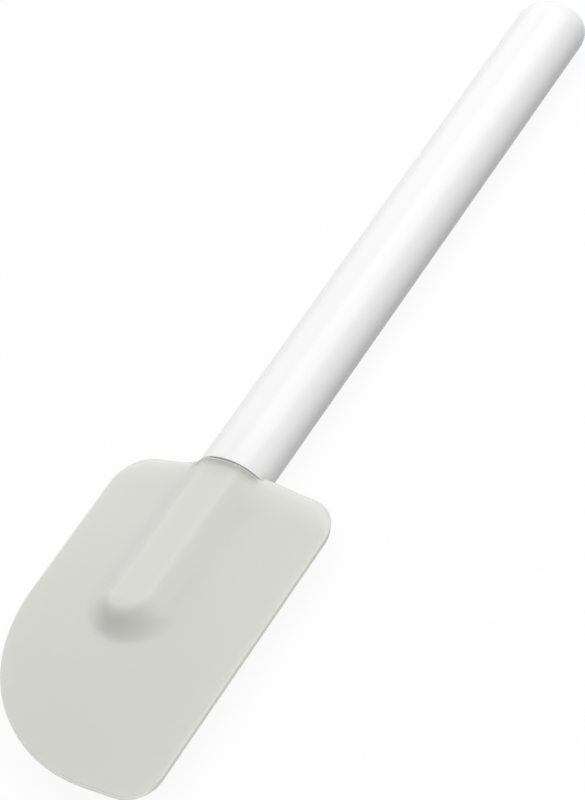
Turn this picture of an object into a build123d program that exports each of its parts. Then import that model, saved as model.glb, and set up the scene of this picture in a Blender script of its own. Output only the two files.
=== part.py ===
"""Silicone spatula: a hollow oval handle, a stiff tang plugged into it, and a soft blade that
slides on over the tang.

All lengths are in millimetres. X runs along the spatula with the handle at +X, Y runs across the
blade and Z points up. The spatula lies on its back, so z = 0 is the surface under it, and x = 0
and y = 0 are the middle of its length and of the blade's width.
"""

import math
import os

from build123d import *

# Handle
handle_length = 164.0
handle_width = 18.6
handle_thickness = 14.7
handle_wall = 2.0
handle_offset = 1.7          # the handle's axis stands this far to the +Y side of the blade's middle
dome_length = 7.8            # how far the closed end's curve reaches along the handle
dome_fullness = 2.64         # 2 is a plain ellipse, more is blunter
dome_points = 9              # points that carry the dome's curve
rim_round = 0.4              # rounding of the open end's outer edge

# Blade
blade_length = 89.0
blade_width = 60.0
edge_thickness = 1.4         # the slab that the sheet is trimmed from, at its outer edges
slab_margin = 2.0            # how far that slab reaches past the outline
root_thickness = 5.0         # the sheet at its middle line, beside the handle
tip_thickness = 1.9          # the sheet at its middle line, at the tip
shoulder_drop = 1.9          # how much lower a shoulder ends at the side than it starts at the neck
shoulder_radius = 8.9
neck_bend = 6.0              # how gently the outline turns from the neck into a shoulder
small_tip_radius = 7.8
tip_straight = 8.0           # the straight edge between the tip's two corners
tip_slant = 1.3              # how much further the tip's edge reaches on its small corner's side

# Rib that covers the tang
rib_length = 47.5
rib_width = 13.2
rib_height = 13.6            # from its back face to its front face, through the sheet
rib_corner = 2.6
nose_round = 2.4
foot_reach = 3.6             # how far the rib's foot blends out over the sheet
foot_back = 5.0              # the blend stops this far before the nose

# Neck, where the rib widens to the handle's oval
neck_length = 6.0
neck_inset = 0.4             # the neck stands back this much from the handle's surface

# Tang
tongue_length = 42.0
tongue_draft = 0.5           # how much narrower each side is at the tongue's tip
tongue_corner = 1.5
tongue_lead = 0.8            # rounding of the tongue's tip
socket_wall = 2.2            # silicone around the socket
plug_length = 30.0
plug_wall = 2.0

# Clearances
slide_clearance = 0.3        # between the blade and what it slides on or stops against
plug_clearance = 0.03        # between the plug and the handle's bore
socket_end_space = 0.5       # left past the tongue's tip

# Places that follow from the sizes
total_length = handle_length + blade_length
rim_x = blade_length - total_length / 2
tip_x = rim_x - blade_length
axis_y = handle_offset
axis_z = max(handle_thickness, rib_height) / 2
neck_reach = handle_width / 2 + handle_offset
large_tip_radius = blade_width - small_tip_radius - tip_straight
overrun = blade_width


def cross_plane(x, y):
    """A plane across the spatula: its own x is the row's Y and its own y is the row's Z."""
    return Plane(origin=(x, y, axis_z), x_dir=(0, 1, 0), z_dir=(1, 0, 0))


def dome_curve(length, radius, reach):
    """Half of the closed end's outline, from the side at the given radius to the axis at length."""
    power = 2 / dome_fullness
    points = []
    for step in range(dome_points - 1):
        angle = math.pi / 2 * step / (dome_points - 1)
        along = length - reach + reach * math.sin(angle) ** power
        points.append((along, radius * math.cos(angle) ** power))
    points.append((length, 0))
    return Spline(*points, tangents=[(1, 0), (0, -1)])


def bore_radius():
    """Half of the bore's width. The bore's oval has the same proportions as the outside."""
    return handle_width / 2 - handle_wall


def make_handle_shell():
    """The hollow handle: one outline turned about the axis and flattened to an oval."""
    outer = handle_width / 2
    inner = bore_radius()
    bore_end = handle_length - handle_wall
    inner_reach = dome_length - handle_wall
    outline = [
        Line((0, inner), (0, outer - rim_round)),
        CenterArc((rim_round, outer - rim_round), rim_round, 180, -90),
        Line((rim_round, outer), (handle_length - dome_length, outer)),
        dome_curve(handle_length, outer, dome_length),
        Line((handle_length, 0), (bore_end, 0)),
        dome_curve(bore_end, inner, inner_reach),
        Line((bore_end - inner_reach, inner), (0, inner)),
    ]
    round_shell = revolve(make_face(outline), axis=Axis.X)
    return Pos(rim_x, axis_y, axis_z) * scale(round_shell, by=(1, 1, handle_thickness / handle_width))


def tongue_section(x, grow, narrow):
    """The tongue's rounded rectangle at x, grown on every side or narrowed by the draft."""
    width = rib_width - 2 * socket_wall - 2 * slide_clearance + 2 * grow - 2 * narrow
    height = rib_height - 2 * socket_wall - 2 * slide_clearance + 2 * grow - 2 * narrow
    return cross_plane(x, axis_y) * RectangleRounded(width, height, tongue_corner + grow)


def make_tang():
    """The stiff core: a cored plug in the handle's mouth and a drafted tongue for the blade."""
    root = tongue_section(rim_x, 0, 0)
    tip = tongue_section(rim_x - tongue_length, 0, tongue_draft)
    tongue = loft([tip, root])
    tongue = fillet(tongue.faces().sort_by(Axis.X)[0].edges(), tongue_lead)
    flatness = handle_thickness / handle_width
    plug_radii = (bore_radius() - plug_clearance, bore_radius() * flatness - plug_clearance)
    core_radii = (plug_radii[0] - plug_wall, plug_radii[1] - plug_wall)
    plug = extrude(cross_plane(rim_x, axis_y) * Ellipse(*plug_radii), plug_length)
    core_start = rim_x + plug_wall
    core = extrude(cross_plane(core_start, axis_y) * Ellipse(*core_radii), plug_length)
    return tongue + (plug - core)


def rounded_face(corners, radii):
    """A flat face with straight sides and an arc of its own radius at each corner."""
    arcs = []
    for index, radius in enumerate(radii):
        here = Vector(*corners[index])
        back = (Vector(*corners[index - 1]) - here).normalized()
        on = (Vector(*corners[(index + 1) % len(corners)]) - here).normalized()
        half_angle = math.acos(back.dot(on)) / 2
        reach = radius / math.tan(half_angle)
        depth = radius / math.sin(half_angle) - radius
        arcs.append((here + back * reach, here + (back + on).normalized() * depth, here + on * reach))
    edges = []
    for index, arc in enumerate(arcs):
        edges.append(Line(arcs[index - 1][-1], arc[0]))
        edges.append(ThreePointArc(*arc))
    return make_face(edges)


def blade_outline():
    """The sheet's outline seen from the front: straight shoulders and sides, two unlike tip corners."""
    half = blade_width / 2
    slope = tip_slant / blade_width
    lean = math.hypot(1, slope)
    # The tip's straight edge passes this point, where it meets the small corner's arc.
    meet_x = tip_x + small_tip_radius - small_tip_radius / lean
    meet_y = -half + small_tip_radius + small_tip_radius * slope / lean
    small_corner = (meet_x + slope * (-half - meet_y), -half)
    large_corner = (meet_x + slope * (half - meet_y), half)
    shoulder_end = rim_x - shoulder_drop
    corners = [
        (rim_x, -neck_reach),
        (shoulder_end, -half),
        small_corner,
        large_corner,
        (shoulder_end, half),
        (rim_x, neck_reach),
    ]
    radii = [neck_bend, shoulder_radius, small_tip_radius, large_tip_radius, shoulder_radius, neck_bend]
    return rounded_face(corners, radii)


def sheet_section(x, middle):
    """The slab across the spatula at x: thickest at its middle line, thin at both sides."""
    half = blade_width / 2 + slab_margin
    points = [
        (-half, -edge_thickness / 2),
        (0, -middle / 2),
        (half, -edge_thickness / 2),
        (half, edge_thickness / 2),
        (0, middle / 2),
        (-half, edge_thickness / 2),
    ]
    return cross_plane(x, 0) * make_face(Polyline(*points, close=True))


def make_sheet():
    """The blade's thin sheet: a tapered slab trimmed to the outline."""
    tip_end = sheet_section(tip_x - slab_margin, tip_thickness)
    rim_end = sheet_section(rim_x + slab_margin, root_thickness)
    slab = loft([tip_end, rim_end], ruled=True)
    prism = extrude(Pos(0, 0, axis_z - overrun / 2) * blade_outline(), overrun)
    return slab & prism


def foot_section(x):
    """The rib's foot on both faces of the sheet: walls that flare out in quarter curves."""
    wall = rib_width / 2
    out = wall + foot_reach
    top = edge_thickness / 2 + foot_reach
    low = edge_thickness / 2
    centre = (out, top)
    start = Line((0, top), (wall, top))
    bend = CenterArc(centre, foot_reach, 180, 90)
    floor = Polyline((out, low), (out, 0), (0, 0), (0, top))
    quarter = make_face([start, bend, floor])
    half = quarter + mirror(quarter, Plane.XZ)
    return cross_plane(x, axis_y) * (half + mirror(half, Plane.YZ))


def make_rib():
    """The rib over the tang: a rounded bar with a round nose, and its foot on the sheet."""
    start = rim_x - slide_clearance
    section = cross_plane(start, axis_y) * RectangleRounded(rib_width, rib_height, rib_corner)
    bar = extrude(section, -(rib_length - slide_clearance))
    bar = fillet(bar.faces().sort_by(Axis.X)[0].edges(), nose_round)
    foot = extrude(foot_section(start), -(rib_length - slide_clearance - foot_back))
    return bar + foot


def make_neck():
    """The rib's end beside the handle, which widens to the handle's oval."""
    wide = Ellipse(handle_width / 2 - neck_inset, handle_thickness / 2 - neck_inset)
    narrow_share = rib_width / handle_width
    slim = Ellipse(handle_width / 2 * narrow_share, handle_thickness / 2 * narrow_share)
    wide_end = cross_plane(rim_x - slide_clearance, axis_y) * wide
    slim_end = cross_plane(rim_x - neck_length, axis_y) * slim
    return loft([slim_end, wide_end])


def make_blade():
    """The soft blade: sheet, rib and neck in one moulding, with a blind socket for the tongue."""
    body = make_sheet() + make_rib() + make_neck()
    mouth = tongue_section(rim_x, slide_clearance, 0)
    bottom = tongue_section(rim_x - tongue_length - socket_end_space, slide_clearance, tongue_draft)
    socket = loft([bottom, mouth])
    # The handle's end stays clear of the sheet, whose shoulders reach up to the rim beside it.
    seat_radii = (handle_width / 2 + slide_clearance, handle_thickness / 2 + slide_clearance)
    seat = extrude(cross_plane(rim_x - slide_clearance, axis_y) * Ellipse(*seat_radii), overrun)
    return body - socket - seat


def main():
    os.makedirs("parts", exist_ok=True)
    parts = {
        "handle_shell": make_handle_shell(),
        "tang": make_tang(),
        "blade": make_blade(),
    }
    for name, part in parts.items():
        export_step(part, f"parts/{name}.step")
        box = part.bounding_box()
        print(name, "solids", len(part.solids()), "volume", round(part.volume), "box", box.min, box.max)


main()
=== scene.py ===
# %% [markdown]
# # A silicone spatula, dressed for its photograph
# The spatula has three pieces: a glossy white handle, a stiff tang that nobody sees until the blade
# comes off, and a soft blade of off-white silicone. Their sizes are settled in CAD. This lesson loads
# that model as a fixed frame, puts a finer blade and handle in the places of the plain ones, and gives
# each surface its finish. A camera, a pale floor and soft light complete the picture.

# %% The frame
import math

import bmesh
import bpy
import numpy as np
from mathutils import Matrix, Vector
from mathutils.geometry import delaunay_2d_cdt


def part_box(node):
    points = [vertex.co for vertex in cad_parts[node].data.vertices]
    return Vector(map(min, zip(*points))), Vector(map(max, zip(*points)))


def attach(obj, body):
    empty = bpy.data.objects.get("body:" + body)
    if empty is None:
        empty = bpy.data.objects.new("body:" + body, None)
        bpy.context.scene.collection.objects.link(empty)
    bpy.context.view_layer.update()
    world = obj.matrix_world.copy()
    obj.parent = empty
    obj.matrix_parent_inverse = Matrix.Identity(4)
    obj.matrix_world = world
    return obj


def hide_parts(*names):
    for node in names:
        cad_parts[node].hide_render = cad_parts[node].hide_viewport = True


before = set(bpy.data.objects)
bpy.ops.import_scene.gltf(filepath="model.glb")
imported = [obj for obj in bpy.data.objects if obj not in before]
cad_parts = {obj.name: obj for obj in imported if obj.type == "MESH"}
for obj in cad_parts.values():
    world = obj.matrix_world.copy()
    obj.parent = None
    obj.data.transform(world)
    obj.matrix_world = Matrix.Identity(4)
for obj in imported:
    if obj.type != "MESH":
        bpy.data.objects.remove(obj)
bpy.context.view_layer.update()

# %% [markdown]
# ## The camera
# A camera can be aimed by eye, or worked out. Here it was worked out: the handle's outline and the
# blade's outline in the picture leave only one place from which the spatula looks like that. It stands
# nearly a metre away, beyond the blade's tip and to one side, and looks down at a slant. It is rolled,
# so that the spatula crosses the frame from corner to corner. It comes first, because every later
# choice is judged through it.

# %% Camera
camera_place = Vector((-0.477369, -0.486672, 0.641294))
camera_right = Vector((0.499139, -0.824438, -0.266779))
camera_up = Vector((0.705165, 0.207535, 0.677997))
camera_lens = 177.78

camera_data = bpy.data.cameras.new("photo_camera")
camera_data.lens = camera_lens
camera = bpy.data.objects.new("photo_camera", camera_data)
bpy.context.scene.collection.objects.link(camera)
camera_back = camera_right.cross(camera_up).normalized()
turn = Matrix((camera_right, camera_up, camera_back)).transposed()
camera.matrix_world = Matrix.Translation(camera_place) @ turn.to_4x4()
bpy.context.scene.camera = camera
print("camera looks along", [round(c, 3) for c in -camera_back])

# %% [markdown]
# ## Where the pieces are
# All shapes are thought out in millimetres, so that a value reads like one on a drawing. The places
# come from the frame: the plane of the handle's rim, both ends, the handle's own axis, which stands a
# little to one side of the blade's middle, and half of each width. Typing them again would work too,
# until somebody changed the CAD model.

# %% Places from the frame
MM = 0.001
handle_low, handle_high = (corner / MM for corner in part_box("handle_shell"))
blade_low, blade_high = (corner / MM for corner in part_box("blade"))
rim_x = handle_low.x
end_x = handle_high.x
tip_x = blade_low.x
half_blade = (blade_high.y - blade_low.y) / 2
axis_y = (handle_low.y + handle_high.y) / 2
axis_z = (handle_low.z + handle_high.z) / 2
half_wide = (handle_high.y - handle_low.y) / 2
half_thick = (handle_high.z - handle_low.z) / 2
print("rim", rim_x, "tip", tip_x, "axis", axis_y, axis_z, "oval", half_wide, half_thick)

# %% [markdown]
# ## Soft steps
# Moulds for silicone are cut with a ball cutter, so the real blade has no sharp inner edge anywhere.
# Modelled forms could be joined with a boolean and bevelled afterwards, which often fails where they
# meet at a shallow angle. Three small functions of numbers do it here instead. They serve heights as
# well as places, and work on a whole array of points at once.

# %% Soft steps
def mix(low, high, share):
    return low + (high - low) * share


def ease(value):
    """A soft step from 0 to 1."""
    value = np.clip(value, 0, 1)
    return value * value * (3 - 2 * value)


def smooth_max(first, second, blend):
    """The larger of two heights, with a fillet where they are nearly equal."""
    near = np.maximum(blend - np.abs(first - second), 0) / blend
    return np.maximum(first, second) + near**2 * blend / 4


print("halfway along, the soft step is at", ease(0.5))
print("a fillet of 2 mm lifts a corner by", smooth_max(0.0, 0.0, 2.0), "mm")

# %% [markdown]
# ## The blade's outline
# Seen from the front, the blade is a flat shape of straight edges and four rounded corners: two
# shoulders, one small tip corner and one very large one that scrapes round bowls. It could be drawn as
# a curve. Here each edge is a line that tells how far outside it a point lies, and two lines meet in a
# round corner. That gives the distance to the outline at any point, which the rounded edge of the
# silicone needs later.

# %% A round corner
def round_corner(first, second, cosine, radius):
    """How far outside two edges a point is, where they meet in an arc of that radius."""
    u, v = first + radius, second + radius
    share_u = (u - cosine * v) / (1 - cosine**2)
    share_v = (v - cosine * u) / (1 - cosine**2)
    reach = np.sqrt(np.maximum(share_u * u + share_v * v, 0)) - radius
    return np.where((share_u > 0) & (share_v > 0), reach, np.maximum(first, second))


cut_off = float(round_corner(0.0, 0.0, 0.0, 8.0))
print("a radius of 8 mm takes", round(cut_off, 1), "mm off a square corner")

# %% [markdown]
# The shoulders aren't quite straight. They fall a little towards the sides, and they dip where they
# meet the neck, so their top line gets a rise that fades in beside the handle.

# %% Distance to the outline
shoulder_start = 11.0
shoulder_rise = 1.4
seat_share, seat_fade = 0.67, 6.0
shoulder_drop = 2.1
shoulder_radius = 8.9
low_shoulder_radius = 10.5
side_grow = 0.2
small_corner_radius = 7.8
large_corner_radius = 44.8
tip_slope = 1.3 / 60


def outside(x, y):
    """Distance outside the blade's outline, in mm. It is negative inside."""
    run = half_blade - shoulder_start
    lean = math.hypot(run, shoulder_drop)
    off_seat = ease((np.abs(y - axis_y) - half_wide) / seat_fade)
    high = x - rim_x - shoulder_rise * mix(seat_share, 1, off_seat)
    upper = (high * run + (y - shoulder_start) * shoulder_drop) / lean
    lower = (high * run + (-y - shoulder_start) * shoulder_drop) / lean
    tilt = math.hypot(1, tip_slope)
    meet_x = tip_x + small_corner_radius * (1 - 1 / tilt)
    meet_y = -half_blade + small_corner_radius * (1 + tip_slope / tilt)
    tip = (meet_x - x + tip_slope * (y - meet_y)) / tilt
    left, right = y - half_blade - side_grow, -y - half_blade - side_grow
    corners = [
        round_corner(left, upper, shoulder_drop / lean, shoulder_radius),
        round_corner(right, lower, shoulder_drop / lean, low_shoulder_radius),
        round_corner(right, tip, -tip_slope / tilt, small_corner_radius),
        round_corner(left, tip, tip_slope / tilt, large_corner_radius),
        high,
    ]
    return np.maximum.reduce(corners)


print("the middle of the blade is", round(-float(outside((rim_x + tip_x) / 2, 0.0)), 1), "mm inside")

# %% [markdown]
# ## The sheet
# The front of the blade is one height for each place, measured up from the middle plane, and the back
# is the same shape mirrored. The sheet itself swells gently towards its middle line and towards the
# handle, so that it bends at its tip and not at its root. Its edge is rounded in a quarter of an
# ellipse: tight along the sides, where it has to scrape, and wide over the shoulders.

# %% The sheet
edge_half = 0.7
root_half = 2.5
tip_half = 0.95
ridge_soft = 5.0


def sheet_height(x, y):
    """Half of the sheet's thickness, without its rounded edge."""
    along = (rim_x - x) / (rim_x - tip_x)
    middle = mix(root_half, tip_half, np.clip(along, 0, 1))
    off = np.sqrt(y**2 + ridge_soft**2) - ridge_soft
    full = math.hypot(half_blade, ridge_soft) - ridge_soft
    return edge_half + (middle - edge_half) * np.clip(1 - off / full, 0, 1)


print("sheet at the rim", round(2 * float(sheet_height(rim_x, 0.0)), 2), "mm thick in the middle")

# %% The sheet's rounded edge
side_round, side_depth = 0.3, 0.3
shoulder_round, shoulder_depth = 3.0, 1.6
shoulder_reach, shoulder_fade = 10, 8


def shoulder_share(x):
    """1 at the shoulders and 0 further down the blade."""
    return ease((x - (rim_x - shoulder_reach)) / shoulder_fade)


def round_width(x):
    """How far in from the outline the rounding starts: far at the shoulders, close elsewhere."""
    return mix(side_round, shoulder_round, shoulder_share(x))


def edge_drop(x, y):
    """How much the rounded edge takes off the height, in a quarter of an ellipse."""
    inside = np.clip(-outside(x, y) / round_width(x), 0, 1)
    depth = mix(side_depth, shoulder_depth, shoulder_share(x))
    return depth * (1 - np.sqrt(np.maximum(1 - (1 - inside) ** 2, 0)))


print("rounded edge", round_width(tip_x), "mm wide at the tip,", round_width(rim_x), "mm at the shoulders")

# %% [markdown]
# ## The rib
# The rib is the silicone that covers the tang's tongue. Its top is flat, its flanks slope gently, and
# its nose falls away more steeply. A box with bevels would give the flat top, but not the change from
# one slope to the other around the nose. So the rib is drawn as a drop from its flat top: a rounded
# rim first, then a straight slope, with sizes that change from the flank's to the nose's on the way
# round. The mould isn't perfectly even: the rib leans a touch and narrows a touch, and its steepest
# part is turned to one side.

# %% The rib
rib_top = 6.4
rib_end = 46.1
rib_lean, rib_taper = 0.15, 0.3
flank_flat, flank_start, flank_round, flank_slope = 3.85, 0.0, 2.6, math.radians(39)
nose_flat, nose_start, nose_round, nose_slope = 5.0, math.radians(22), 5.5, math.radians(60)
nose_skew, nose_power = 3.0, 1.6
hardly_any = 1e-6


def nose_share(x, across):
    """0 beside the rib and 1 straight ahead of its nose."""
    ahead = np.maximum(rim_x - rib_end + nose_flat - x, 0)
    away = np.maximum(ahead**2 + (across - nose_skew) ** 2, hardly_any)
    return (ahead**2 / away) ** nose_power


def rib_height(x, across):
    """The flat top, its rounded rim and the slope below it, all the way round."""
    ahead = np.maximum(rim_x - rib_end + nose_flat - x, 0)
    share = nose_share(x, across)
    narrow = rib_taper * np.clip((rim_x - x) / rib_end, 0, 1)
    flat = mix(flank_flat - narrow, nose_flat, share)
    radius = mix(flank_round, nose_round, share)
    start = mix(flank_start, nose_start, share)
    slope = mix(flank_slope, nose_slope, share)
    out = np.maximum(np.hypot(ahead, across) - flat, 0)
    turned = np.minimum(out, radius * (np.sin(slope) - np.sin(start)))
    drop = radius * np.cos(start) - np.sqrt(radius**2 - (turned + radius * np.sin(start)) ** 2)
    return rib_top - drop - (out - turned) * np.tan(slope)


print("rib", 2 * rib_top, "mm high through the blade, it ends", rib_end, "mm from the rim")

# %% [markdown]
# ## The neck
# At the handle the rib has to become the handle's oval, or a step would show all round the rim. The
# neck is a second oval hill over the rib. It stands back from the handle's surface by less than half a
# millimetre at the rim, and sinks into the rib within a few millimetres.

# %% The neck
neck_gap = 0.45
neck_inset = 0.45
neck_flare, neck_reach, neck_taper = 1.5, 1.3, 0.15
least_half = 0.1


def neck_height(x, across):
    """An oval that is nearly the handle's at the rim, and sinks into the rib behind it."""
    back = np.maximum(rim_x - neck_gap - x, 0)
    sunk = neck_inset + neck_flare * (1 - np.exp(-back / neck_reach)) + neck_taper * back
    wide = np.maximum(half_wide - sunk, least_half)
    thick = np.maximum(half_thick - sunk, 0)
    return thick * np.sqrt(np.maximum(1 - (across / wide) ** 2, 0))


print("neck", round(float(neck_height(rim_x, 0.0)), 2), "mm high at the rim")
print("handle", round(half_thick, 2), "mm high there")

# %% [markdown]
# ## All forms together
# Each form is now melted into the next. The fillet along the rib's foot is small, the one below its
# nose is larger, and near the handle both grow, as if a bigger cutter had worked beside the neck. One
# more fillet lays the neck onto what is around it.

# %% Fillets
foot_blend, nose_blend = 1.5, 4.0
root_blend, root_reach, root_fade = 2.5, 16, 12
neck_blend, neck_fillet = 0.6, 3.0
fillet_reach, fillet_fade = 8, 6
fillet_side, fillet_side_fade = 1.5, 5


def foot_fillet(x, across):
    """The fillet between the rib and the sheet."""
    blend = mix(foot_blend, nose_blend, nose_share(x, across))
    return blend + root_blend * ease((x - rim_x + root_reach) / root_fade)


def neck_side_fillet(x, across):
    """The fillet between the neck and what it stands on: wide only just beside the neck."""
    close = ease((x - rim_x + fillet_reach) / fillet_fade)
    beside = close * (1 - ease((np.abs(across) - half_wide - fillet_side) / fillet_side_fade))
    return mix(neck_blend, neck_fillet, beside)


def blade_height(x, y):
    """The front's height above the middle plane, in mm."""
    across = y - axis_y
    leaned = across - rib_lean * np.maximum(rim_x - x, 0) / rib_end
    body = smooth_max(sheet_height(x, y), rib_height(x, leaned), foot_fillet(x, leaned)) - edge_drop(x, y)
    return smooth_max(body, neck_height(x, across), neck_side_fillet(x, across))


print("height at the rib", round(float(blade_height(rim_x - 20.0, axis_y)), 2), "mm")

# %% [markdown]
# ## A mesh for the blade
# A grid alone would cut the curved outline into steps, and rings alone would crowd at the middle. So
# both are used: a few rings follow the outline closely where the edge rounds, a few rows follow the
# neck's end, and a plain grid fills the rest. Blender's Delaunay triangulation joins these points, and
# pairs of triangles become quads again. The first step finds the outline itself, by walking out from
# the middle of the blade on many rays until the distance changes sign.

# %% Walking out
halvings = 40


def walk_out(beyond, count, reach):
    """How far each of the rays goes before it is beyond a shape, found by halving."""
    near, far = np.zeros(count), np.full(count, reach)
    for _ in range(halvings):
        half = (near + far) / 2
        passed = beyond(half)
        near, far = np.where(passed, near, half), np.where(passed, half, far)
    return near


def evenly(points, step):
    """The same open line with points at equal steps."""
    lengths = np.hypot(*np.diff(points, axis=0).T)
    so_far = np.concatenate([[0], np.cumsum(lengths)])
    marks = np.linspace(0, so_far[-1], round(so_far[-1] / step) + 1)
    return np.stack([np.interp(marks, so_far, points[:, i]) for i in (0, 1)], 1)


print("each walk halves what is left", halvings, "times")

# %% Points on the outline
ray_count, ray_reach = 3600, 80.0
outline_step = 0.75
seat_clearance = 0.3
seat_half = half_wide + seat_clearance
neck_zone = 1

angles = np.linspace(0, 2 * math.pi, ray_count, endpoint=False)
rays = np.stack([np.cos(angles), np.sin(angles)], 1)
ray_start = np.array([(rim_x + tip_x) / 2, axis_y])


def beyond_outline(distances):
    return outside(*(ray_start + rays * distances[:, None]).T) > 0


border = ray_start + rays * walk_out(beyond_outline, ray_count, ray_reach)[:, None]
in_neck = (np.abs(border[:, 1] - axis_y) < seat_half) & (border[:, 0] > rim_x - neck_zone)
border = evenly(border[~in_neck], outline_step)
print("outline", len(border), "points, from", border.min(0).round(2), "to", border.max(0).round(2))

# %% [markdown]
# Rings and rows: the rings step in from the outline as a wheel turns, close together at the very edge
# and wider inside, so that the rounding has even facets. The rows do the same behind the neck's end,
# whose rim is broken by about a tenth of a millimetre.

# %% Rings
ring_turns = np.radians([0, 13, 27, 42, 58, 74, 90])
ring_flare = 0.6
nudge = 1e-4


def outward(points):
    """The direction in which the distance to the outline grows."""
    x, y = points.T
    along = outside(x + nudge, y) - outside(x - nudge, y)
    across = outside(x, y + nudge) - outside(x, y - nudge)
    slope = np.stack([along, across], 1)
    return slope / np.linalg.norm(slope, axis=1)[:, None]


step_in = round_width(border[:, 0])[:, None] * outward(border)
rings = [border - step_in * (1 - math.cos(turned)) for turned in ring_turns]
for ring, turned in zip(rings, ring_turns):
    aside = seat_half + ring_flare * (1 - math.cos(turned))
    ring[0, 1], ring[-1, 1] = axis_y + aside, axis_y - aside
print(len(rings), "rings of", len(border), "points")

# %% Rows
neck_points = 61
neck_round = 0.12
row_turns = np.radians([0, 22, 45, 68, 90])

neck_x = rim_x - neck_gap
neck_y = axis_y + np.sin(np.linspace(-1, 1, neck_points) * math.pi / 2) * half_wide
row_places = [neck_x - neck_round * (1 - math.cos(turned)) for turned in row_turns]
rows = [np.stack([np.full(neck_points, place), neck_y], 1) for place in row_places]
seat_corners = np.array([(neck_x, axis_y - seat_half), (neck_x, axis_y + seat_half)])
print(len(rows), "rows of", neck_points, "points")

# %% Heights of the points
seat_slack = 0.05


def front_height(points):
    """The height at each point, with the neck's rim broken."""
    x, y = points.T
    back = np.clip((neck_x - x) / neck_round, 0, 1)
    cut = neck_round * (1 - np.sqrt(np.maximum(1 - (1 - back) ** 2, 0)))
    at_neck = np.abs(y - axis_y) < seat_half - seat_slack
    return np.maximum(blade_height(x, y) - np.where(at_neck, cut, 0), 0)


print("highest point of the neck's end", round(float(front_height(rows[0]).max()), 2), "mm")

# %% [markdown]
# The grid is fine over the rib, where the slopes change, and twice as wide over the plain sheet. It
# stays a little clear of the rings and rows, so that no face becomes a sliver.

# %% Points inside
fine_step, wide_step = 0.5, 1.0
clear_of_ring = 0.35
rib_zone_half, rib_zone_ahead = 13, 12
grid_margin = 1


def grid_points(step):
    """A square grid over the blade's box."""
    xs = np.arange(tip_x, neck_x - neck_round - clear_of_ring, step)
    ys = np.arange(-half_blade - grid_margin, half_blade + grid_margin, step)
    return np.stack(np.meshgrid(xs, ys, indexing="ij"), -1).reshape(-1, 2)


def near_rib(points):
    beside = np.abs(points[:, 1] - axis_y) < rib_zone_half
    return beside & (points[:, 0] > rim_x - rib_end - rib_zone_ahead)


fine, wide = grid_points(fine_step), grid_points(wide_step)
inner = np.concatenate([fine[near_rib(fine)], wide[~near_rib(wide)]])
behind_neck = np.abs(inner[:, 1] - axis_y) < seat_half - clear_of_ring
inner = inner[behind_neck | (outside(*inner.T) < -round_width(inner[:, 0]) - clear_of_ring)]
print("grid", len(inner), "points")

# %% [markdown]
# Every point is now put once into one list, and each strip of faces refers to it by number. A fence of
# points runs along the innermost ring and the last row, and the triangulation fills what it encloses.

# %% Numbers of the points
flat_points = np.concatenate([*rings, *rows, seat_corners, inner])
starts = np.cumsum([0] + [len(part) for part in (*rings, *rows, seat_corners)])
ring_ids = [np.arange(len(border)) + start for start in starts[: len(rings)]]
row_ids = [np.arange(neck_points) + start for start in starts[len(rings) : len(rings) + len(rows)]]
low_corner, high_corner = starts[len(rings) + len(rows)] + np.arange(2)
print("all", len(flat_points), "points of the front")

# %% Faces of the front
def strip(first, second):
    """Quads between two lines of as many points."""
    return [(first[i], first[i + 1], second[i + 1], second[i]) for i in range(len(first) - 1)]


front_faces = []
for lines in (ring_ids, row_ids):
    for outer_ids, inner_ids in zip(lines, lines[1:]):
        front_faces += strip(outer_ids, inner_ids)
neck_side = [ids[-1] for ids in row_ids]
fence = list(ring_ids[-1]) + [ids[-1] for ids in ring_ids[-2::-1]] + [low_corner]
fence += [ids[0] for ids in row_ids] + list(row_ids[-1][1:]) + neck_side[-2::-1]
fence += [high_corner] + [ids[0] for ids in ring_ids[:-1]]
used = np.array(fence + list(range(starts[-1], len(flat_points))))
inside_the_fence, same_place = 1, 1e-7
spots = [Vector(spot) for spot in flat_points[used]]
filled = delaunay_2d_cdt(spots, [], [list(range(len(fence)))], inside_the_fence, same_place)
assert len(filled[0]) == len(used), "the fence crosses itself"
front_faces += [tuple(used[list(face)]) for face in filled[2]]
print("front", len(front_faces), "faces")

# %% [markdown]
# ## The socket
# When the blade is pulled off, the end of its neck shows: a flat face with a rounded slot, as deep as
# the tang's tongue is long. A boolean could cut it, but the end face has as many points as the slot
# can have, so rings of quads lead straight from the neck's oval into the slot and down to its floor.

# %% The slot's outline
slot_half_wide, slot_half_high, slot_round = 4.4, 4.6, 1.8
slot_reach = 30.0


def slot_loop(directions, grow):
    """Points on a rounded rectangle, in the directions given, grown by some millimetres."""
    radius = slot_round + grow
    core = [slot_half_wide + grow - radius, slot_half_high + grow - radius]

    def beyond_slot(distances):
        spot = np.abs(directions * distances[:, None]) - core
        return np.hypot(*np.maximum(spot, 0).T) + np.minimum(spot.max(1), 0) > radius

    return directions * walk_out(beyond_slot, len(directions), slot_reach)[:, None]


print("slot", 2 * slot_half_wide, "by", 2 * slot_half_high, "mm")

# %% The slot's walls
slot_depth, slot_draft, slot_lip = 42.5, 0.5, 0.5
lip_share = 0.3
floor_round = 1


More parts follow.
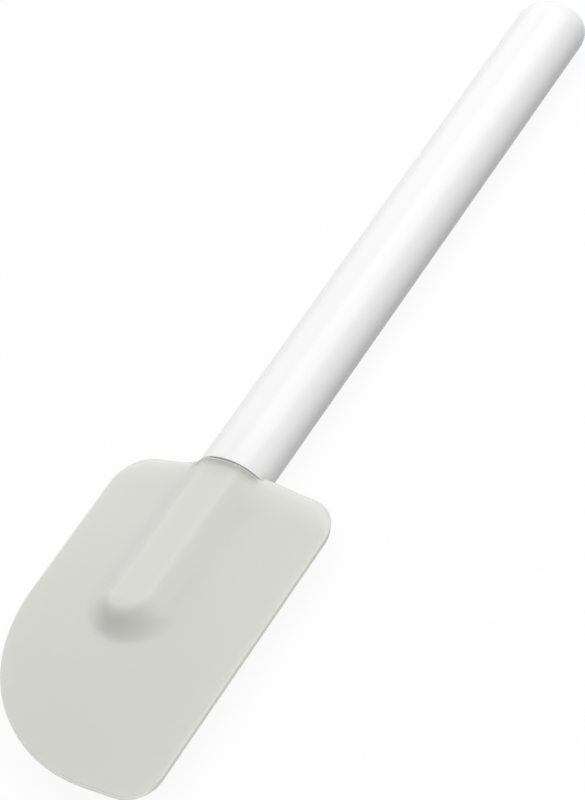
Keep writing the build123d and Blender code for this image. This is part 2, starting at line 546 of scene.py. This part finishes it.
def add_socket(places, faces, around):
    """Leads the neck's end into the slot and down to its floor, and gives all points back."""
    outer = places[around][:, 1:] - [axis_y, axis_z]
    directions = outer / np.linalg.norm(outer, axis=1)[:, None]
    levels = [
        (neck_x, slot_lip),
        (neck_x - lip_share * slot_lip, lip_share * slot_lip),
        (neck_x - slot_lip, 0),
        (rim_x - slot_depth + slot_round, -slot_draft),
        (rim_x - slot_depth, -slot_draft - floor_round),
    ]
    previous = around
    for x, grow in levels:
        loop = slot_loop(directions, grow)
        ids = list(range(len(places), len(places) + len(loop)))
        added = np.column_stack([np.full(len(loop), x), loop + [axis_y, axis_z]])
        places = np.concatenate([places, added])
        for i in range(len(ids)):
            j = (i + 1) % len(ids)
            faces.append((previous[j], previous[i], ids[i], ids[j]))
        previous = ids
    faces.append(tuple(reversed(previous)))
    return places


print("slot", slot_depth, "mm deep, its lip", slot_lip, "mm")

# %% [markdown]
# ## From numbers to an object
# Both new pieces are lists of points and faces at first. One function turns such lists into a piece:
# it drops points that no face uses, turns all faces outward, joins triangles in pairs where that is
# asked for, and shades smooth except at true edges. It also counts open edges, because a closed mesh
# has none.

# %% A piece from points and faces
edge_angle = math.radians(50)
pair_flatness, pair_squareness = math.radians(20), math.radians(25)


def new_piece(name, places, faces, join_triangles):
    """A smooth, closed piece in the scene, from points in mm and faces."""
    mesh = bpy.data.meshes.new(name)
    mesh.from_pydata((places * MM).tolist(), [], [tuple(int(i) for i in face) for face in faces])
    shape = bmesh.new()
    shape.from_mesh(mesh)
    loose = [point for point in shape.verts if not point.link_faces]
    bmesh.ops.delete(shape, geom=loose, context="VERTS")
    bmesh.ops.recalc_face_normals(shape, faces=shape.faces)
    if join_triangles:
        triangles = [face for face in shape.faces if len(face.verts) == 3]
        limits = {"angle_face_threshold": pair_flatness, "angle_shape_threshold": pair_squareness}
        bmesh.ops.join_triangles(shape, faces=triangles, **limits)
    open_edges = [edge for edge in shape.edges if not edge.is_manifold]
    print(name, len(shape.verts), "points", len(shape.faces), "faces, open edges", len(open_edges))
    shape.to_mesh(mesh)
    shape.free()
    mesh.shade_smooth()
    mesh.set_sharp_from_angle(angle=edge_angle)
    piece = bpy.data.objects.new(name, mesh)
    bpy.context.scene.collection.objects.link(piece)
    return piece


print("edges that bend by more than", round(math.degrees(edge_angle)), "degrees stay sharp")

# %% [markdown]
# The blade's front comes first. The back has the same faces turned over, a narrow wall joins the two
# all along the outline, and the socket closes the neck's end.

# %% Build the blade
def make_blade():
    """One closed mesh: front, back, the neck's end and the socket."""
    heights = front_height(flat_points)
    front = np.column_stack([flat_points, axis_z + heights])
    back = np.column_stack([flat_points, axis_z - heights])
    back_of = np.arange(len(flat_points)) + len(flat_points)
    faces = [tuple(face) for face in front_faces]
    faces += [tuple(back_of[list(reversed(face))]) for face in front_faces]
    around = list(row_ids[0]) + list(back_of[row_ids[0][::-1]])
    places = add_socket(np.concatenate([front, back]), faces, around)
    edge = [row_ids[0][-1], high_corner, *ring_ids[0], low_corner, row_ids[0][0]]
    faces += strip(edge, back_of[edge])
    return new_piece("blade_skin", places, faces, True)


blade = make_blade()

# %% [markdown]
# ## The handle
# The handle is a plastic moulding with a polished skin, an oval tube that a dome closes. Its curve is
# long and plain, so every facet would show in the reflections. It is turned here from one outline with
# more points than the CAD mesh has: out along the side, round the dome, and back inside as the bore.
# Both the outside and the bore are ovals of one proportion. The edge at the mouth is broken by less
# than a fifth of a millimetre.

# %% The handle's outline
handle_wall = 2.0
dome_length, dome_fullness = 7.8, 2.64
mouth_round = 0.18
around_count, dome_count, along_count = 192, 24, 12
mouth_turns = np.radians([0, 30, 60, 90])


def dome_line(end, radius, length):
    """Distance along the handle and radius, from the side to the closed end's middle."""
    turned = np.linspace(0, math.pi / 2, dome_count)
    power = 2 / dome_fullness
    along = end - length + length * np.sin(turned) ** power
    return np.column_stack([along, radius * np.cos(turned) ** power])


def side_line(start, stop, radius):
    """Even steps along a straight side."""
    along = np.linspace(start, stop, along_count)[1:-1]
    return np.column_stack([along, np.full(len(along), radius)])


mouth = np.column_stack([
    rim_x + mouth_round * (1 - np.sin(mouth_turns)),
    half_wide - mouth_round * (1 - np.cos(mouth_turns)),
])[::-1]
bore_half = half_wide - handle_wall
outer_line = np.concatenate([
    mouth,
    side_line(rim_x + mouth_round, end_x - dome_length, half_wide),
    dome_line(end_x, half_wide, dome_length),
])
bore_line = np.concatenate([
    [[rim_x, bore_half]],
    side_line(rim_x, end_x - dome_length, bore_half),
    dome_line(end_x - handle_wall, bore_half, dome_length - handle_wall),
])
print("outside", len(outer_line), "rings, bore", len(bore_line), "rings")

# %% Turn an outline
def turned_faces(outline, first):
    """Rings of quads round the axis, closed by a fan of triangles at the end's middle point."""
    ring_total = len(outline) - 1
    faces = []
    for ring in range(ring_total - 1):
        for i in range(around_count):
            j = (i + 1) % around_count
            low, high = first + ring * around_count, first + (ring + 1) * around_count
            faces.append((low + i, low + j, high + j, high + i))
    last = first + (ring_total - 1) * around_count
    tip = first + ring_total * around_count
    faces += [(last + i, last + (i + 1) % around_count, tip) for i in range(around_count)]
    return faces


def turned_points(outline):
    """The outline at every angle, flattened to the oval, with its end as one point."""
    flatness = half_thick / half_wide
    angles = np.linspace(0, 2 * math.pi, around_count, endpoint=False)
    points = []
    for along, radius in outline[:-1]:
        points.append(np.column_stack([
            np.full(around_count, along),
            axis_y + radius * np.cos(angles),
            axis_z + radius * flatness * np.sin(angles),
        ]))
    points.append([[outline[-1][0], axis_y, axis_z]])
    return np.concatenate(points)


print("the oval is", round(half_thick / half_wide, 3), "times as thick as it is wide")

# %% Build the handle
def make_handle():
    """Outside, bore and the flat ring of the mouth, as one closed mesh."""
    outside_points, bore_points = turned_points(outer_line), turned_points(bore_line)
    first_bore = len(outside_points)
    faces = turned_faces(outer_line, 0)
    faces += [tuple(reversed(face)) for face in turned_faces(bore_line, first_bore)]
    for i in range(around_count):
        j = (i + 1) % around_count
        faces.append((first_bore + i, first_bore + j, j, i))
    return new_piece("handle_skin", np.concatenate([outside_points, bore_points]), faces, False)


handle = make_handle()

# %% [markdown]
# ## Materials from a few small parts
# Each finish here is a tree of nodes. Most trees need the same few parts: a soft step along a
# distance, a sum or product of two values, a colour between two tones, and a cloud that drifts slowly
# over the surface. Each part is a short function that adds its node and gives back its output, so that
# a finish can be read from top to bottom.

# %% Nodes
def node(tree, kind, **inputs):
    """Adds a node and sets its inputs by name."""
    made = tree.nodes.new(kind)
    for name, value in inputs.items():
        made.inputs[name.replace("_", " ")].default_value = value
    return made


def new_material(name):
    """A material that has only a surface shader, with its tree and that shader."""
    material = bpy.data.materials.new(name)
    material.use_nodes = True
    tree = material.node_tree
    tree.nodes.clear()
    shader = tree.nodes.new("ShaderNodeBsdfPrincipled")
    output = tree.nodes.new("ShaderNodeOutputMaterial")
    tree.links.new(shader.outputs[0], output.inputs[0])
    return material, tree, shader


def ramp(tree, value, low, high, unit=MM):
    """0 below low, 1 above high, and a soft step between them, in mm unless unit says otherwise."""
    step = tree.nodes.new("ShaderNodeMapRange")
    step.interpolation_type = "SMOOTHSTEP"
    step.inputs["From Min"].default_value = low * unit
    step.inputs["From Max"].default_value = high * unit
    tree.links.new(value, step.inputs["Value"])
    return step.outputs["Result"]


print("materials so far", len(bpy.data.materials))

# %% Values and tones
def math_node(tree, operation, first, second=0):
    """Joins two values, or a value and a number."""
    made = tree.nodes.new("ShaderNodeMath")
    made.operation = operation
    tree.links.new(first, made.inputs[0])
    if isinstance(second, (int, float)):
        made.inputs[1].default_value = second
    else:
        tree.links.new(second, made.inputs[1])
    return made.outputs[0]


def distance_from(tree, value, middle):
    """How far a coordinate is from a middle that is given in mm."""
    return math_node(tree, "ABSOLUTE", math_node(tree, "SUBTRACT", value, middle * MM))


def tinted(tree, factor, low, high):
    """A colour between two tones."""
    blend = tree.nodes.new("ShaderNodeMix")
    blend.data_type = "RGBA"
    for socket, tint in (("A", low), ("B", high)):
        if isinstance(tint, tuple):
            blend.inputs[socket].default_value = (*tint, 1)
        else:
            tree.links.new(tint, blend.inputs[socket])
    tree.links.new(factor, blend.inputs["Factor"])
    return blend.outputs["Result"]


def grey(level):
    return (level, level, level)


print("a grey of 0.9 is", grey(0.9))

# %% Clouds and grain
cloud_detail, grain_detail = 3.0, 2.0


def object_place(tree):
    """The place on the object, in metres along its own axes."""
    return tree.nodes.new("ShaderNodeTexCoord").outputs["Object"]


def cloud(tree, place, scale):
    """A value that drifts slowly over the surface."""
    noise = node(tree, "ShaderNodeTexNoise", Scale=scale, Detail=cloud_detail)
    tree.links.new(place, noise.inputs["Vector"])
    return noise.outputs["Fac"]


def grain(tree, shader, place, scale, height):
    """A fine bump."""
    noise = node(tree, "ShaderNodeTexNoise", Scale=scale, Detail=grain_detail)
    bump = node(tree, "ShaderNodeBump", Strength=1.0, Distance=height)
    tree.links.new(place, noise.inputs["Vector"])
    tree.links.new(noise.outputs["Fac"], bump.inputs["Height"])
    tree.links.new(bump.outputs["Normal"], shader.inputs["Normal"])


print("clouds have", cloud_detail, "octaves, grain has", grain_detail)

# %% [markdown]
# ## Silicone
# Silicone is soft, slightly cloudy and never quite smooth: the mould has been blasted to a fine satin, so
# its highlights are broad and pale. Light goes a little way into it, which keeps its hollows from going
# black. The colour is an off-white with a hint of green. One flat colour would look like paint, so the
# tone is built up here in layers: darker at the thin tip, paler towards the thick root, with a slow cloud
# in it.

# %% Tone of the sheet
tip_tone, root_tone = (0.658, 0.665, 0.626), (0.698, 0.705, 0.666)
cloud_scale, drift = 30.0, 0.25

silicone, tree, shader = new_material("satin_silicone")
place = object_place(tree)
axes = tree.nodes.new("ShaderNodeSeparateXYZ")
tree.links.new(place, axes.inputs[0])
along_x, along_y, along_z = (axes.outputs[name] for name in "XYZ")
centred = math_node(tree, "SUBTRACT", cloud(tree, place, cloud_scale), 0.5)
unevenness = math_node(tree, "MULTIPLY", centred, drift)
# The tone runs from the darker one at the tip to the paler one at the root, with the cloud mixed in.
tip_to_root = math_node(tree, "ADD", ramp(tree, along_x, tip_x, rim_x), unevenness)
body_tone = tinted(tree, tip_to_root, tip_tone, root_tone)
print("tip", tip_tone, "root", root_tone)

# %% [markdown]
# Over the tang the silicone is a little paler, as if the pale core shone through. On the blade's side
# toward -Y the tone goes halfway back to the tip's: painted shade, which makes that side darker than the
# other.

# %% Tone over the core, and painted shade on the -Y side
core_tone = (0.708, 0.715, 0.675)
core_half, core_soft, core_end = 7.5, 2.0, 43.0
shaded_side_share, shaded_side_start, shaded_side_end = 0.5, 8, 13

aside = distance_from(tree, along_y, axis_y)
beside_core = ramp(tree, aside, core_half, core_half + core_soft)
along_core = ramp(tree, along_x, rim_x - core_end - core_soft, rim_x - core_end)
over_core = math_node(tree, "MULTIPLY", along_core, math_node(tree, "SUBTRACT", along_core, beside_core))
body_tone = tinted(tree, over_core, body_tone, core_tone)
# Painted shade: the side toward -Y is darkened halfway back to the tip's tone.
shaded_side = ramp(tree, along_y, axis_y - shaded_side_start, axis_y - shaded_side_end)
shaded_side = math_node(tree, "MULTIPLY", shaded_side, shaded_side_share)
body_tone = tinted(tree, shaded_side, body_tone, tip_tone)
print("core", 2 * core_half, "mm wide,", core_end, "mm long")

# %% [markdown]
# The rounded shoulders are made paler: painted light, as if light got into them from two sides. The lip of
# the neck is made darker: painted shade in the joint where it sits tight against the handle.

# %% Painted light on the shoulders and painted shade at the lip
shoulder_painted_light = (0.732, 0.739, 0.7)
lip_painted_shade = (0.48, 0.487, 0.458)
pale_start, pale_end = 10, 1
lip_start, lip_end = 4.0, 0.3
neck_soft = 1

off_neck = ramp(tree, aside, half_wide - neck_soft, half_wide + neck_soft)
toward_rim = ramp(tree, along_x, rim_x - pale_start, rim_x - pale_end)
# Painted light: the shoulders beside the neck are made paler near the rim.
shoulder_light_share = math_node(tree, "MULTIPLY", toward_rim, off_neck)
body_tone = tinted(tree, shoulder_light_share, body_tone, shoulder_painted_light)
# Painted shade: the neck's silicone next to the rim, in the joint, is made darker.
near_rim = ramp(tree, along_x, rim_x - lip_start, rim_x - lip_end)
lip_shade_share = math_node(tree, "MULTIPLY", near_rim, math_node(tree, "SUBTRACT", near_rim, off_neck))
body_tone = tinted(tree, lip_shade_share, body_tone, lip_painted_shade)
print("lip darkens over the last", lip_start, "mm")

# %% [markdown]
# The narrow wall around the tip is the thinnest silicone of all, and it is painted pale, as a painted glow
# of light coming through it. It is found by where it is and which way it faces: it stands upright, near
# the middle plane, and looks away from the handle.

# %% Painted glow on the thin edge
edge_painted_glow = (0.93, 0.94, 0.87)
steep_start, steep_end = 0.6, 0.4
outward_start, outward_end = -0.25, -0.6
low_start, low_end = 1.6, 1.1

surface = tree.nodes.new("ShaderNodeNewGeometry")
facing = tree.nodes.new("ShaderNodeSeparateXYZ")
tree.links.new(surface.outputs["True Normal"], facing.inputs[0])
steep = ramp(tree, math_node(tree, "ABSOLUTE", facing.outputs["Z"]), steep_start, steep_end, 1)
toward_tip = ramp(tree, facing.outputs["X"], outward_start, outward_end, 1)
low = ramp(tree, distance_from(tree, along_z, axis_z), low_start, low_end)
# Painted glow: upright faces near the middle plane that look toward the tip are made pale.
glow_at_edge = math_node(tree, "MULTIPLY", math_node(tree, "MULTIPLY", steep, low), toward_tip)
tree.links.new(tinted(tree, glow_at_edge, body_tone, edge_painted_glow), shader.inputs["Base Color"])
print("edge", edge_painted_glow)

# %% [markdown]
# Last comes the finish. A roughness of one half spreads each highlight wide, subsurface scattering lets
# light travel about two millimetres, and a very fine grain keeps the satin alive up close.

# %% Silicone finish
silicone_grain, silicone_bump = 2500, 0.000004

grain(tree, shader, place, silicone_grain, silicone_bump)
shader.inputs["Roughness"].default_value = 0.5
shader.inputs["Specular IOR Level"].default_value = 0.2
shader.inputs["Subsurface Weight"].default_value = 0.9
shader.inputs["Subsurface Radius"].default_value = (0.002, 0.002, 0.0018)
shader.inputs["Subsurface Scale"].default_value = 1.0
blade.data.materials.append(silicone)
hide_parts("blade")
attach(blade, "blade")
print("silicone tree", len(tree.nodes), "nodes")

# %% [markdown]
# ## Plastic
# The handle is a hard white plastic from a polished mould, and the tang is the same kind of plastic in
# a plainer off-white. They differ most in gloss: the handle mirrors the lamps in soft streaks, with a
# hardly visible waviness that every moulding has, and the tang is dull. A cloud between two near tones
# keeps either from being one flat colour. The tang keeps its CAD mesh, which is good enough for a part
# that shows only when the blade is off.

# %% Handle finish
white_low, white_high, white_scale = grey(0.9), grey(0.91), 20
wave_scale, wave_height = 60, 0.00001

polished, tree, shader = new_material("polished_plastic")
place = object_place(tree)
white = tinted(tree, cloud(tree, place, white_scale), white_low, white_high)
tree.links.new(white, shader.inputs["Base Color"])
grain(tree, shader, place, wave_scale, wave_height)
shader.inputs["Roughness"].default_value = 0.25
shader.inputs["Specular IOR Level"].default_value = 0.42
handle.data.materials.append(polished)
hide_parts("handle_shell")
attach(handle, "handle")
print("handle tree", len(tree.nodes), "nodes")

# %% Tang finish
plain_low, plain_high, plain_scale = (0.74, 0.74, 0.71), (0.78, 0.78, 0.75), 60
plain_grain, plain_bump = 1200, 0.00001

plain, tree, shader = new_material("plain_plastic")
place = object_place(tree)
off_white = tinted(tree, cloud(tree, place, plain_scale), plain_low, plain_high)
tree.links.new(off_white, shader.inputs["Base Color"])
grain(tree, shader, place, plain_grain, plain_bump)
shader.inputs["Roughness"].default_value = 0.55
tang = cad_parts["tang"]
tang.data.materials.clear()
tang.data.materials.append(plain)
print("tang tree", len(tree.nodes), "nodes")

# %% [markdown]
# ## Floor
# The picture has no visible ground, only white. A floor could be lit until it turns white, but that
# light would wash out the spatula as well. So the floor glows white only for rays that show it to the
# eye: straight on, in a gloss or through something clear. A small share of it stays plain paper, and
# that share keeps the soft shadow. For all other rays the floor is paper too, pale under the blade and
# dark under the handle, as if a dark card lay there. A white handle on white paper needs that, or
# the paper's light would fill its underside.

# %% What the eye sees
def seen(tree):
    """1 for rays that show the surroundings: straight on, in a gloss or through something clear."""
    ray = tree.nodes.new("ShaderNodeLightPath")
    either = math_node(tree, "MAXIMUM", ray.outputs["Is Camera Ray"], ray.outputs["Is Glossy Ray"])
    return math_node(tree, "MAXIMUM", either, ray.outputs["Is Transmission Ray"])


glow_share = 0.92
print("the floor that the eye sees is", glow_share, "glow and the rest paper")

# %% Floor
floor_reach = 3.0
card_soft = 15
paper_seen, paper_bare, paper_card = grey(0.95), grey(0.85), grey(0.14)

corners = [(-floor_reach, -floor_reach, 0), (floor_reach, -floor_reach, 0)]
corners += [(floor_reach, floor_reach, 0), (-floor_reach, floor_reach, 0)]
floor_data = bpy.data.meshes.new("floor")
floor_data.from_pydata(corners, [], [(0, 1, 2, 3)])
floor = bpy.data.objects.new("floor", floor_data)
bpy.context.scene.collection.objects.link(floor)
print("floor", 2 * floor_reach, "m wide")

# %% Paper
paper = bpy.data.materials.new("paper")
paper.use_nodes = True
tree = paper.node_tree
tree.nodes.clear()
matte = tree.nodes.new("ShaderNodeBsdfDiffuse")
glow = node(tree, "ShaderNodeEmission", Color=(1, 1, 1, 1), Strength=1.0)
blend = tree.nodes.new("ShaderNodeMixShader")
output = tree.nodes.new("ShaderNodeOutputMaterial")
lengthwise = tree.nodes.new("ShaderNodeSeparateXYZ")
tree.links.new(object_place(tree), lengthwise.inputs[0])
under_handle = ramp(tree, lengthwise.outputs["X"], rim_x - card_soft, rim_x + card_soft)
to_eye = seen(tree)
paper_tone = tinted(tree, to_eye, tinted(tree, under_handle, paper_bare, paper_card), paper_seen)
tree.links.new(paper_tone, matte.inputs["Color"])
tree.links.new(math_node(tree, "MULTIPLY", to_eye, glow_share), blend.inputs[0])
tree.links.new(matte.outputs[0], blend.inputs[1])
tree.links.new(glow.outputs[0], blend.inputs[2])
tree.links.new(blend.outputs[0], output.inputs[0])
floor.data.materials.append(paper)
print("paper tree", len(tree.nodes), "nodes")

# %% [markdown]
# ## Light
# A white studio is a big soft dome of light with a few soft boxes in it. The world is the dome. It
# lights the spatula at a little over half strength and shows full white to the eye, as the floor does,
# so that no horizon appears in low views. The largest and strongest box hangs high beyond the handle's
# end, so that the blade shades towards the camera. Two weak boxes, one on either side, keep the shades
# soft.

# %% World
sky_light = 0.585

world = bpy.data.worlds.new("studio")
bpy.context.scene.world = world
world.use_nodes = True
tree = world.node_tree
sky = tree.nodes["Background"]
sky.inputs["Color"].default_value = (1, 1, 1, 1)
strength = math_node(tree, "MULTIPLY", seen(tree), 1 - sky_light)
strength = math_node(tree, "ADD", strength, sky_light)
tree.links.new(strength, sky.inputs["Strength"])
print("sky", sky_light, "of white")

# %% Lamps
def lamp(name, direction, distance, size, power):
    """A square soft box that faces the spatula from that direction."""
    data = bpy.data.lights.new(name, "AREA")
    data.size = size
    data.energy = power
    made = bpy.data.objects.new(name, data)
    bpy.context.scene.collection.objects.link(made)
    toward = Vector(direction).normalized()
    made.location = toward * distance
    made.rotation_mode = "QUATERNION"
    made.rotation_quaternion = toward.to_track_quat("Z", "Y")
    print(name, power, "W,", size, "m wide")


lamp_distance = 1.5
lamp("key_box", (0.504, -0.11, 0.845), lamp_distance, 1.2, 10.85)
lamp("side_box", (0.5, 0.68, 0.53), lamp_distance, 1.0, 2.2)
lamp("fill_box", (0.25, -0.9, 0.4), lamp_distance, 1.0, 1.6)

# %% [markdown]
# ## The view
# Colours are shown as they are written, without a film look.

# %% Finish
bpy.context.scene.view_settings.view_transform = "Standard"
